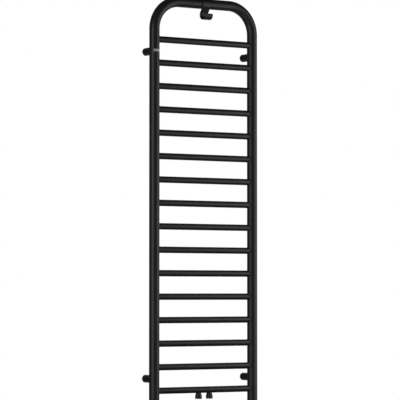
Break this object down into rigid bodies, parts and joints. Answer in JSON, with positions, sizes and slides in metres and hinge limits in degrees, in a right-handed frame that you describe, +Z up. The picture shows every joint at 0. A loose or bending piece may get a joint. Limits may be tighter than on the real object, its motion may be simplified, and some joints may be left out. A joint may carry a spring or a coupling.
{
  "type": "towel warmer rack",
  "caption": "Wall-hung hot-water towel radiator: arched tube frame with straight rungs, clip-on robe hook, telescopic wall brackets, centre pipe sockets and a back air vent.",
  "frame": {"origin": "on the wall plane, at the centre of the rectangle of the four wall fixings", "axes": "+X to the right of a person facing the rack, +Y into the wall, +Z up"},
  "size_m": [0.495, 0.1023, 1.6038],
  "materials": {
    "black_paint": "satin black powder coat",
    "black_plastic": "moulded, matt",
    "black_rubber": "matt",
    "nickel_brass": "nickel plated",
    "plain_steel": "zinc plated",
    "black_steel": "blackened",
    "grey_plate": "anodised, satin"
  },
  "bodies": {
    "wall_cups": {"wall_cup_top_left": "black_paint", "wall_cup_top_right": "black_paint", "wall_cup_bottom_left": "black_paint", "wall_cup_bottom_right": "black_paint"},
    "radiator": {"upright_left": "black_paint", "upright_right": "black_paint", "top_arch": "black_paint", "rung_01": "black_paint", "rung_02": "black_paint", "rung_03": "black_paint", "rung_04": "black_paint", "rung_05": "black_paint", "rung_06": "black_paint", "rung_07": "black_paint", "rung_08": "black_paint", "rung_09": "black_paint", "rung_10": "black_paint", "rung_11": "black_paint", "rung_12": "black_paint", "rung_13": "black_paint", "rung_14": "black_paint", "rung_15": "black_paint", "rung_16": "black_paint", "end_cap_left": "black_paint", "end_cap_right": "black_paint", "port_socket_left": "black_paint", "port_socket_right": "black_paint", "flow_baffle": "plain_steel", "vent_boss": "black_paint", "vent_plug": "nickel_brass", "vent_seal": "black_rubber", "bracket_boss_top_left": "black_paint", "bracket_boss_top_right": "black_paint", "bracket_boss_bottom_left": "black_paint", "bracket_boss_bottom_right": "black_paint", "bracket_sleeve_top_left": "black_paint", "bracket_sleeve_top_right": "black_paint", "bracket_sleeve_bottom_left": "black_paint", "bracket_sleeve_bottom_right": "black_paint", "sleeve_bolts": "plain_steel", "grub_screws": "black_steel", "blank_badge": "grey_plate"},
    "hook_liner": {"hook_liner": "black_plastic"},
    "robe_hook": {"robe_hook": "black_paint"},
    "vent_nozzle": {"vent_nozzle": "black_plastic"},
    "bleed_screw": {"bleed_screw": "nickel_brass"}
  },
  "joints": [
    {"name": "wall_gap", "type": "slide", "parent": "wall_cups", "child": "radiator", "axis": [0, -1, 0], "range_m": [0, 0.012]},
    {"name": "hook_slide", "type": "slide", "parent": "radiator", "child": "hook_liner", "axis": [1, 0, 0], "range_m": [-0.065, 0.095]},
    {"name": "hook_swing", "type": "hinge", "parent": "hook_liner", "child": "robe_hook", "pos_m": [0, -0.065, 0.825], "axis": [1, 0, 0], "range_deg": [-60, 60]},
    {"name": "nozzle_turn", "type": "hinge", "parent": "radiator", "child": "vent_nozzle", "pos_m": [-0.098, -0.0287, 0.825], "axis": [0, 1, 0], "continuous": true},
    {"name": "bleed_turn", "type": "hinge", "parent": "radiator", "child": "bleed_screw", "pos_m": [-0.098, -0.0287, 0.825], "axis": [0, 1, 0], "range_deg": [0, 180]}
  ]
}
